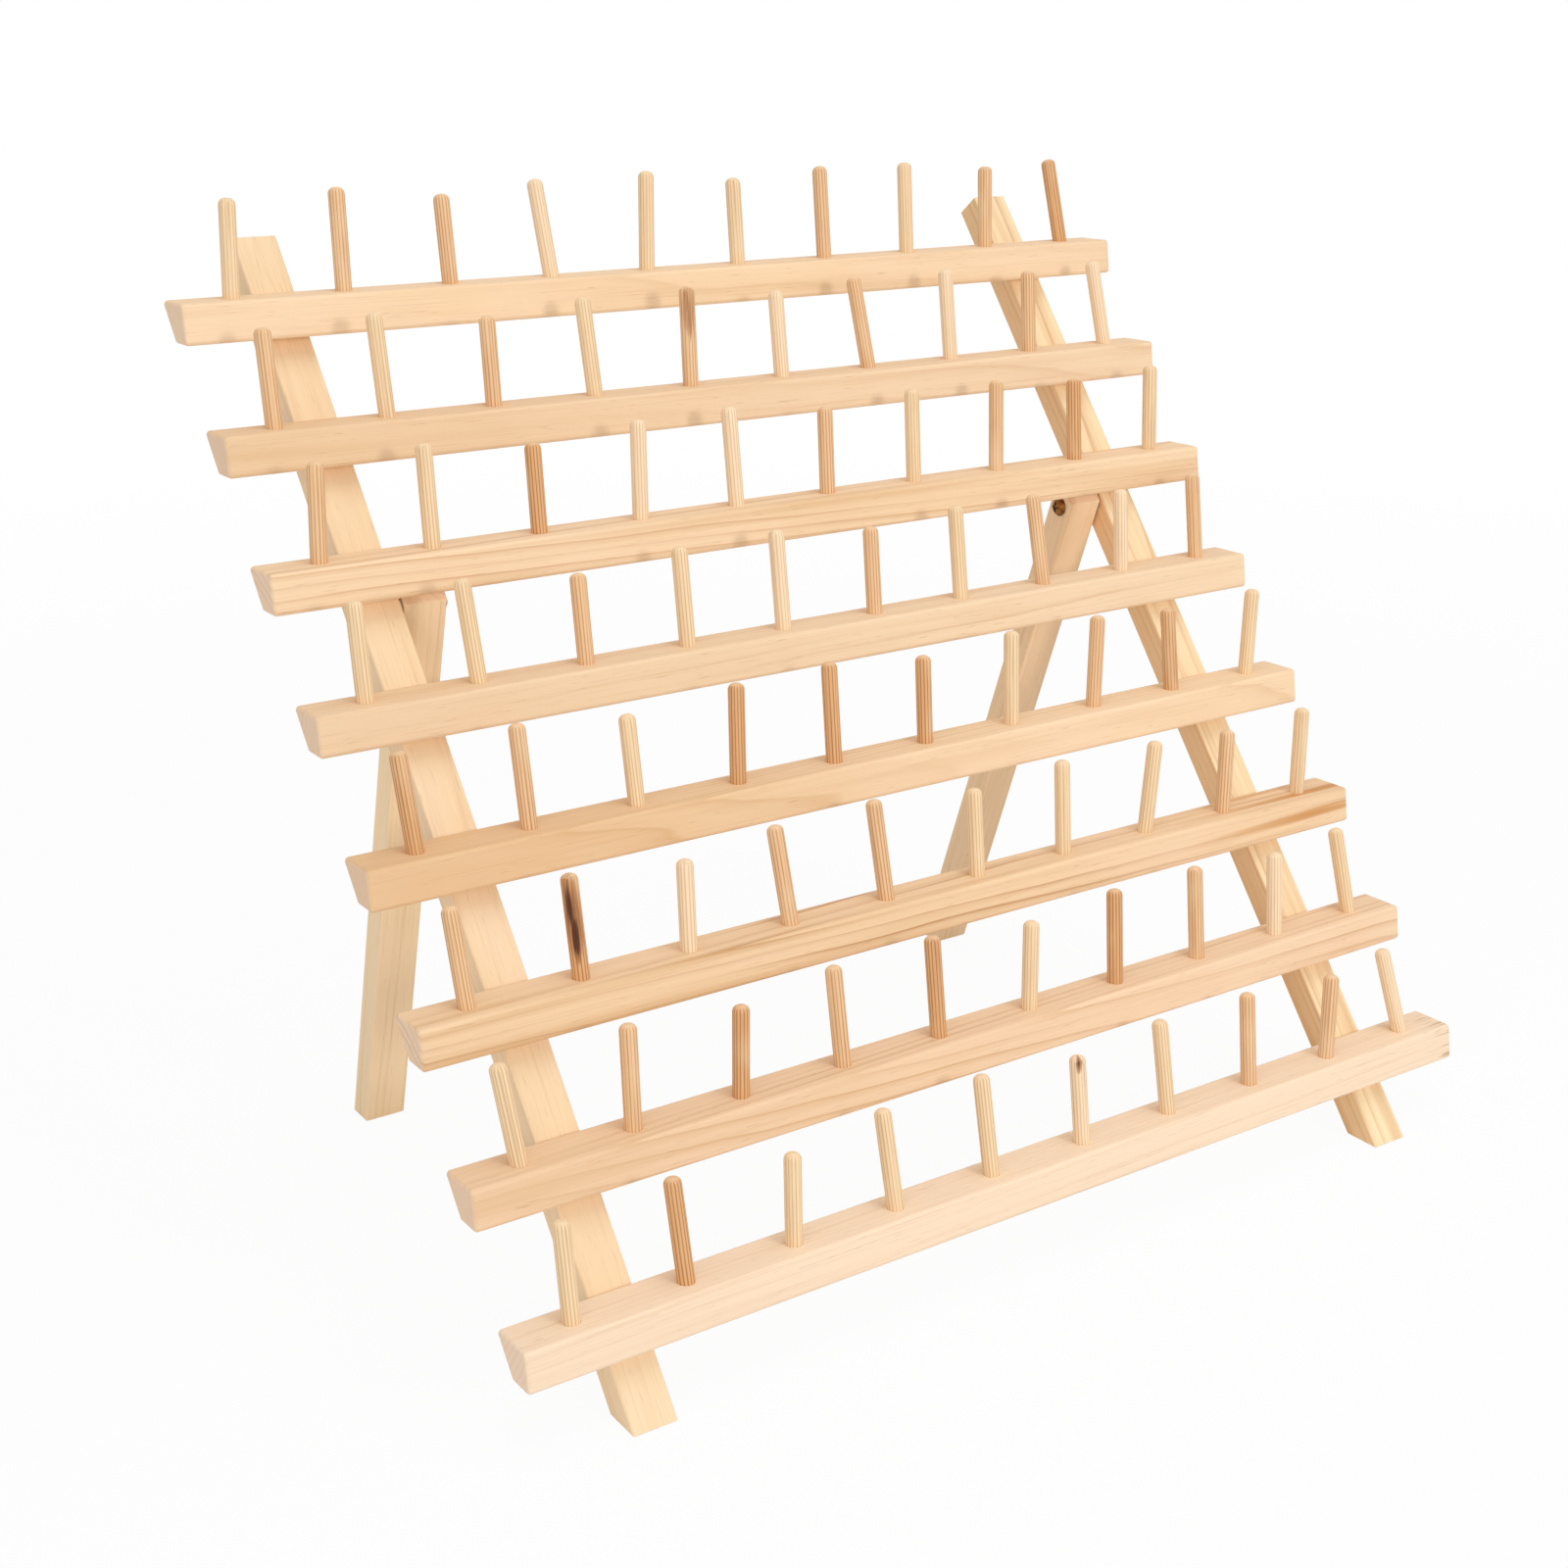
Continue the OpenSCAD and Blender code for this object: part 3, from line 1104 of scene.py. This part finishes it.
@dataclass
class Dressing:
    """Sets pieces on their body, in the place of their node, with their finish.

    Attributes:
        made: Names of the pieces so far.
    """

    made: list[str] = field(default_factory=list)

    def put(
        self, piece: bpy.types.Object, body: str, node: str, finish: bpy.types.Material
    ) -> None:
        """Dresses one piece.

        Args:
            piece: The piece.
            body: Body that it moves with.
            node: Frame node that it stands for.
            finish: Its material.
        """
        piece.data.materials.clear()
        piece.data.materials.append(finish)
        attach(piece, body)
        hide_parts(node)
        self.made.append(piece.name)
        LOG.info("%s stands for %s on %s", piece.name, node, body)

    def carry(self, node: str, finish: bpy.types.Material) -> None:
        """Gives a frame node that stays in view its finish.

        Args:
            node: Name of the node.
            finish: Its material.
        """
        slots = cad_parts[node].data.materials
        slots.clear()
        slots.append(finish)
        self.made.append(node)
        LOG.info("%s is dressed with %s", node, finish.name)


@dataclass
class Rails:
    """The eight rails with their pegs.

    Attributes:
        tones: Letters of the pegs' tones, one word for each rail from the top.
        marks: Dark marks on single pegs.
        finishes: Finish of each rail, from the top.
        end_ease: Radius of the broken edges at a rail's ends.
        socket_gap: Clearance around a peg in its socket.
        socket_past: Depth of a socket below the end of its peg.
        socket_lead: Length by which a socket's cut runs out past the rail's top.
    """

    tones: Sequence[str] = (
        "httchhthtb",
        "ththtctctc",
        "thbccthtbh",
        "hhthcthtct",
        "bthbbbhtbh",
        "tbctthhhth",
        "htbtbhbtch",
        "hbhhhchttc",
    )
    marks: Sequence[PegMark] = (
        PegMark(rail=2, peg=5, facing_deg=245, height=29 * MM, reach=12 * MM, spread_deg=80, depth=0.4),
        PegMark(rail=2, peg=5, facing_deg=250, height=24 * MM, reach=9 * MM, spread_deg=20, depth=0.55),
        PegMark(rail=6, peg=2, facing_deg=235, height=22 * MM, reach=19 * MM, spread_deg=85, depth=0.65),
        PegMark(rail=6, peg=2, facing_deg=222, height=25 * MM, reach=11 * MM, spread_deg=32, depth=1.25),
        PegMark(rail=6, peg=2, facing_deg=240, height=15 * MM, reach=10 * MM, spread_deg=36, depth=1.4),
        PegMark(rail=8, peg=6, facing_deg=240, height=30.5 * MM, reach=3.6 * MM, spread_deg=28, depth=1.0),
    )
    finishes: Sequence[Pine] = (
        Pine("pine_rail_1", paint(250, 217, 177), contrast=0.3, pith=(0.05, -0.02), seed=1),
        Pine("pine_rail_2", paint(246, 215, 178), contrast=0.3, pith=(0.06, -0.03), seed=2, tan_start=0.35),
        Pine(
            "pine_rail_3", paint(249, 217, 178), contrast=0.6, pith=(0.02, -0.05), seed=3,
            late=paint(200, 142, 88), spacing=2.9 * MM, streaks=0.7, figured_end=0.3,
        ),
        Pine("pine_rail_4", paint(247, 218, 182), contrast=0.5, pith=(0.05, 0.02), seed=4, tan_start=0.3),
        Pine(
            "pine_rail_5", paint(250, 218, 179), contrast=0.6, pith=(0.04, -0.02), seed=5,
            slope=0.04, tan_start=0.65,
        ),
        Pine(
            "pine_rail_6", paint(246, 212, 172), contrast=0.95, pith=(0.03, -0.06), seed=6,
            late=paint(188, 130, 72), spacing=3.1 * MM, streaks=0.8, figured_end=0.9,
        ),
        Pine(
            "pine_rail_7", paint(247, 214, 178), contrast=0.7, pith=(0.03, -0.03), seed=7,
            slope=0.02, tan_start=0.2,
        ),
        Pine(
            "pine_rail_8", paint(251, 225, 195), contrast=0.22, pith=(0.05, 0.03), seed=8,
            streaks=0.15, torn_end=0.5,
        ),
    )
    end_ease: float = 1.3 * MM
    socket_gap: float = 0.05 * MM
    socket_past: float = 0.3 * MM
    socket_lead: float = 2 * MM

    def dress(self, dressing: Dressing) -> None:
        """Builds and dresses the rails and their pegs.

        Args:
            dressing: Where the pieces are set.
        """
        dowel = DowelWood(PegRow.radius).material()
        for number, (tones, finish) in enumerate(zip(self.tones, self.finishes), 1):
            row = PegRow(number, tones, self.marks)
            rail = Bar(f"rail_{number}", RIGHT, UP, self.end_ease).build()
            bore(rail, [self._socket(row, rod) for rod in row.rods()])
            even_out(rail)
            dressing.put(rail, FRAME_BODY, f"rail_{number}", finish.material())
            dressing.put(row.build(), FRAME_BODY, f"pegs_{number}", dowel)

    def _socket(self, row: PegRow, rod: Rod) -> Solid:
        """Gives the solid of one peg's socket.

        Args:
            row: The peg's row.
            rod: The peg's axis.

        Returns:
            Its points and faces.
        """
        radius = row.radius + self.socket_gap
        profile = ((radius, -self.socket_past), (radius, row.socket + self.socket_lead))
        return lathe(profile, row.segments, rod.matrix())


@dataclass
class RailScrews:
    """Eight countersunk screws that hold the rails from behind one upright.

    Attributes:
        side: Side of the rack.
        slope: Direction up the upright.
        count: Number of screws.
        head_radius: Radius of a head.
        shank_radius: Radius of a shank and of the thread's crests.
        core_radius: Radius at the thread's roots.
        point_radius: Radius of the blunt point.
        tip: Length of the point.
        pitch: Distance between the thread's crests.
        thread_share: Share of the length that has thread.
        runout: Length over which the thread runs out.
        gap: Clearance of the holes and height of the head's broken edge.
        hole_lead: Length by which the holes run out behind the heads.
        cross: Length, width and depth of the recess's arms.
        segments: Number of corners around a screw.
        sharp_deg: Angle between faces above which an edge is sharp.
    """

    side: Side
    slope: Vector
    count: int = 8
    head_radius: float = 3 * MM
    shank_radius: float = 1.5 * MM
    core_radius: float = 1.15 * MM
    point_radius: float = 0.115 * MM
    tip: float = 3 * MM
    pitch: float = 1.1 * MM
    thread_share: float = 0.6
    runout: float = 0.33 * MM
    gap: float = 0.06 * MM
    hole_lead: float = 3 * MM
    cross: Triple = (3.4 * MM, 0.75 * MM, 1.2 * MM)
    segments: int = 28
    sharp_deg: float = 30.0

    def rods(self) -> list[Rod]:
        """Finds the screws' axes in the frame node, from the lowest, pointing out to the back."""
        behind = Vector((0, self.slope.z, -self.slope.y))
        return Rod.row(self.side.named("rail_screws"), self.count, self.slope, behind)

    def _cone(self, length: float) -> float:
        """Gives the height at which the head's cone starts on a screw of this length."""
        return length - (self.head_radius - self.shank_radius)

    def holes(self) -> list[Solid]:
        """Gives the countersunk holes in the upright.

        Returns:
            One solid for each screw.
        """
        shank, head = self.shank_radius + self.gap, self.head_radius + self.gap
        solids = []
        for rod in self.rods():
            cone, face = self._cone(rod.length), rod.length
            profile = ((shank, 0), (shank, cone), (head, face), (head, face + self.hole_lead))
            solids.append(lathe(profile, self.segments, rod.matrix()))
        return solids

    def profile(self, length: float) -> list[Pair]:
        """Gives the radius and height of each ring of a screw.

        Args:
            length: Whole length of the screw.

        Returns:
            The rings, from the point to the head.
        """
        rows = [(self.point_radius, 0.0), (self.core_radius, self.tip)]
        for turn in range(int((length * self.thread_share - self.tip) / self.pitch)):
            start = self.tip + turn * self.pitch
            rows.append((self.shank_radius, start + self.pitch / 2))
            rows.append((self.core_radius, start + self.pitch))
        rows.append((self.shank_radius, rows[-1][1] + self.runout))
        rows.append((self.shank_radius, self._cone(length)))
        rows.append((self.head_radius, length - self.gap))
        rows.append((self.head_radius - self.gap, length))
        return rows

    def build(self) -> bpy.types.Object:
        """Builds the screws of one upright as one piece of separate solids.

        Returns:
            The screws.
        """
        rods = self.rods()
        solids = [lathe(self.profile(rod.length), self.segments, rod.matrix()) for rod in rods]
        screws = make_piece(self.side.named("rail_screw_set"), *gather(solids), sharp_deg=self.sharp_deg)
        heads = [rod.matrix() @ Matrix.Translation(UP * rod.length) for rod in rods]
        long, wide, deep = self.cross
        for arm in (Vector((long, wide, 2 * deep)), Vector((wide, long, 2 * deep))):
            bore(screws, [slab(arm, head) for head in heads], self.sharp_deg)
        return screws


@dataclass
class Prop:
    """One leaning upright with its rail screws, and the leg that swings on it.

    Attributes:
        side: Side of the rack.
        leg_lean_deg: Angle by which the opened leg leans the other way.
        upright_finish: Finish of the upright.
        leg_finish: Finish of the leg.
        lean_deg: Angle by which the upright leans back.
        screw_finish: Finish of the rail screws.
        shoulder_radius: Radius of the pivot's bore in the leg.
        thread_radius: Radius of the pivot's blind hole in the upright.
        hole_past: Length by which these holes run past the pivot screw.
        hole_segments: Number of corners around them.
    """

    side: Side
    leg_lean_deg: float
    upright_finish: Pine
    leg_finish: Pine
    lean_deg: float = 38.0
    screw_finish: Plating = Plating.zinc("zinc_screw_plate")
    shoulder_radius: float = 2.58 * MM
    thread_radius: float = 2.05 * MM
    hole_past: float = 0.3 * MM
    hole_segments: int = 32

    @classmethod
    def left(cls) -> "Prop":
        """Gives the left prop, of pale and even wood.

        Returns:
            The prop.
        """
        upright = Pine(
            "pine_left_upright", paint(250, 221, 181), contrast=0.16, pith=(0.02, 0.06), seed=21, streaks=0.2
        )
        leg = Pine(
            "pine_left_leg", paint(255, 226, 184), contrast=0.35, pith=(0.03, 0.02), seed=31, streaks=0.15
        )
        return cls(Side.LEFT, leg_lean_deg=15.5, upright_finish=upright, leg_finish=leg)

    @classmethod
    def right(cls) -> "Prop":
        """Gives the right prop, whose upright has strong lines and darker sides, partly painted shade and
        partly browner grain.

        Returns:
            The prop.
        """
        upright = Pine(
            "pine_right_upright", paint(255, 230, 187), contrast=0.55, pith=(0.02, 0.04), seed=22,
            late=paint(190, 130, 70), spacing=3 * MM, streaks=0.6, side_shade_and_grain=0.35,
        )
        leg = Pine(
            "pine_right_leg", paint(255, 222, 180), contrast=0.35, pith=(0.04, 0.03), seed=32, streaks=0.2
        )
        return cls(Side.RIGHT, leg_lean_deg=19.5, upright_finish=upright, leg_finish=leg)

    def _pivot_hole(self, radius: float) -> Solid:
        """Gives a round hole along the whole pivot screw.

        Args:
            radius: Radius of the hole.

        Returns:
            Its points and faces.
        """
        rod = Rod.among(node_points(self.side.named("pivot_screw")), self.side.inwards())
        profile = ((radius, -self.hole_past), (radius, rod.length + self.hole_past))
        return lathe(profile, self.hole_segments, rod.matrix())

    def dress(self, dressing: Dressing) -> None:
        """Builds and dresses the upright, its screws and the leg.

        Args:
            dressing: Where the pieces are set.
        """
        lean, leg_lean = math.radians(self.lean_deg), math.radians(self.leg_lean_deg)
        slope = Vector((0, math.sin(lean), math.cos(lean)))
        screws = RailScrews(self.side, slope)
        node = self.side.named("upright")
        upright = Bar(node, slope, BACK).build()
        bore(upright, [self._pivot_hole(self.thread_radius)] + screws.holes())
        even_out(upright)
        dressing.put(upright, FRAME_BODY, node, self.upright_finish.material())
        node = self.side.named("rail_screws")
        dressing.put(screws.build(), FRAME_BODY, node, self.screw_finish.material())
        node = self.side.named("leg")
        leg = Bar(node, Vector((0, -math.sin(leg_lean), math.cos(leg_lean))), BACK).build()
        bore(leg, [self._pivot_hole(self.shoulder_radius)])
        even_out(leg)
        dressing.put(leg, node, node, self.leg_finish.material())


@dataclass
class PivotParts:
    """The domed pivot screws and the thin washers between legs and uprights.

    Attributes:
        bronze: Finish of the screws.
        zinc: Finish of the washers.
    """

    bronze: Plating = Plating(
        "dark_bronze_plate", bright=paint(150, 100, 52), dull=paint(86, 54, 26), roughness=0.3
    )
    zinc: Plating = Plating.zinc("zinc_washer_plate")

    def dress(self, dressing: Dressing) -> None:
        """Dresses the screws and washers.

        Args:
            dressing: Where the pieces are set.
        """
        bronze, zinc = self.bronze.material(), self.zinc.material()
        for side in Side:
            dressing.carry(side.named("pivot_screw"), bronze)
            dressing.carry(side.named("pivot_washer"), zinc)


@dataclass(frozen=True)
class Lamp:
    """A square soft light that points at the rack.

    Attributes:
        name: Name of the lamp.
        place: Its place.
        size: Side of its square.
        power: Its power.
        aim: Point that it is turned to.
    """

    name: str
    place: Triple
    size: float
    power: float
    aim: Triple = (0, 0, 0.16)

    def hang(self) -> None:
        """Adds the lamp to the scene."""
        data = bpy.data.lights.new(self.name, "AREA")
        data.size = self.size
        data.energy = self.power
        lamp = bpy.data.objects.new(self.name, data)
        look = Vector(self.aim) - Vector(self.place)
        turned = look.to_track_quat("-Z", "Y").to_matrix().to_4x4()
        lamp.matrix_world = Matrix.Translation(self.place) @ turned
        bpy.context.scene.collection.objects.link(lamp)


@dataclass
class Studio:
    """Camera, soft lights, white floor and white surroundings.

    Attributes:
        eye: Place of the camera.
        azimuth_deg: Direction that it looks, from +Y towards +X.
        elevation_deg: Angle by which it looks down.
        roll_deg: Angle by which it is tipped to the left.
        lens: Focal length of the camera.
        sensor: Width of its sensor, in the lens's unit.
        clip_start: Distance at which its view starts.
        floor_size: Side of the square floor.
        floor_drop: Distance of the floor below the rack's feet.
        floor_grey: Share of the light that the floor throws back.
        floor_glow: Share of plain white in the floor's look beside the rack; the rest takes shadow.
        floor_fade: Distances between which that share rises to the whole.
        ambient: Strength of the light from the surroundings.
        lamps: The lamps.
    """

    eye: Triple = (-0.4732, -0.6561, 0.4248)
    azimuth_deg: float = 34.23
    elevation_deg: float = 19.26
    roll_deg: float = 0.25
    lens: float = 51.3
    sensor: float = 36.0
    clip_start: float = 0.01
    floor_size: float = 30.0
    floor_drop: float = 0.2 * MM
    floor_grey: float = 0.84
    floor_glow: float = 0.94
    floor_fade: Pair = (0.5, 1.6)
    ambient: float = 0.58
    lamps: Sequence[Lamp] = (
        Lamp("key", (0.4, -1.5, 0.66), size=0.26, power=5.7),
        Lamp("left", (-1.6, -1.0, 0.4), size=1.0, power=5.2),
        Lamp("top", (0.1, -0.5, 2.2), size=1.5, power=13.0),
    )

    def build(self) -> None:
        """Builds the whole studio."""
        self._camera()
        self._floor()
        self._world()
        for lamp in self.lamps:
            lamp.hang()
        bpy.context.scene.view_settings.view_transform = "Standard"

    def _camera(self) -> None:
        """Sets the camera at the photograph's viewing angle."""
        azimuth, elevation = math.radians(self.azimuth_deg), math.radians(self.elevation_deg)
        flat = Vector((math.sin(azimuth), math.cos(azimuth), 0)) * math.cos(elevation)
        look = flat - UP * math.sin(elevation)
        data = bpy.data.cameras.new("camera")
        data.lens = self.lens
        data.sensor_width = self.sensor
        data.clip_start = self.clip_start
        camera = bpy.data.objects.new("camera", data)
        roll = Matrix.Rotation(math.radians(self.roll_deg), 4, "Z")
        turned = look.to_track_quat("-Z", "Y").to_matrix().to_4x4()
        camera.matrix_world = Matrix.Translation(self.eye) @ turned @ roll
        bpy.context.scene.collection.objects.link(camera)
        bpy.context.scene.camera = camera

    @staticmethod
    def _seen_directly(tree: Tree) -> Wire:
        """Tells the rays that show the surroundings from those that only bring light.

        Args:
            tree: Tree that asks.

        Returns:
            1 for rays from the camera, from gloss and through glass, and 0 for all others.
        """
        node = tree.add("ShaderNodeLightPath").socket.node
        names = ("Is Camera Ray", "Is Glossy Ray", "Is Transmission Ray")
        camera, gloss, glass = (Wire(tree, node.outputs[name]) for name in names)
        return tree.math("MINIMUM", camera + gloss + glass, 1.0)

    def _floor(self) -> None:
        """Makes the white floor, which keeps a faint shadow."""
        half = self.floor_size / 2
        corners = np.array([(-half, -half, 0), (half, -half, 0), (half, half, 0), (-half, half, 0)])
        floor = make_piece("floor", corners, [[0, 1, 2, 3]], Matrix.Translation(-UP * self.floor_drop))
        made, tree = new_material("white_floor")
        grey = (self.floor_grey, self.floor_grey, self.floor_grey, 1.0)
        matt = tree.add("ShaderNodeBsdfDiffuse", None, {"Color": grey})
        glow = tree.add("ShaderNodeEmission", None, {"Color": WHITE, "Strength": 1.0})
        place = tree.add("ShaderNodeTexCoord", output="Object")
        away = tree.add("ShaderNodeVectorMath", {"operation": "LENGTH"}, {0: place}, "Value")
        fade = tree.step(away, self.floor_fade)
        share = self._seen_directly(tree) * (self.floor_glow + fade * (1 - self.floor_glow))
        both = tree.add("ShaderNodeMixShader", None, {0: share, 1: matt, 2: glow})
        tree.add("ShaderNodeOutputMaterial", None, {"Surface": both})
        floor.data.materials.append(made)

    def _world(self) -> None:
        """Makes the surroundings white to the eye and softer as light."""
        world = bpy.data.worlds.new("studio")
        world.use_nodes = True
        bpy.context.scene.world = world
        tree = Tree(world.node_tree)
        light = tree.add("ShaderNodeBackground", None, {"Color": WHITE, "Strength": self.ambient})
        seen = tree.add("ShaderNodeBackground", None, {"Color": WHITE, "Strength": 1.0})
        sky = tree.add("ShaderNodeMixShader", None, {0: self._seen_directly(tree), 1: light, 2: seen})
        tree.add("ShaderNodeOutputWorld", None, {"Surface": sky})


def write_sizes() -> None:
    """Updates the view layer."""
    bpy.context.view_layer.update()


def main() -> None:
    """Builds the studio and dresses every piece of the rack."""
    logging.basicConfig(level=logging.INFO, format="%(name)s: %(message)s")
    Studio().build()
    dressing = Dressing()
    Rails().dress(dressing)
    Prop.left().dress(dressing)
    Prop.right().dress(dressing)
    PivotParts().dress(dressing)
    LOG.info("%d pieces dressed", len(dressing.made))
    write_sizes()


if __name__ == "__main__":
    main()
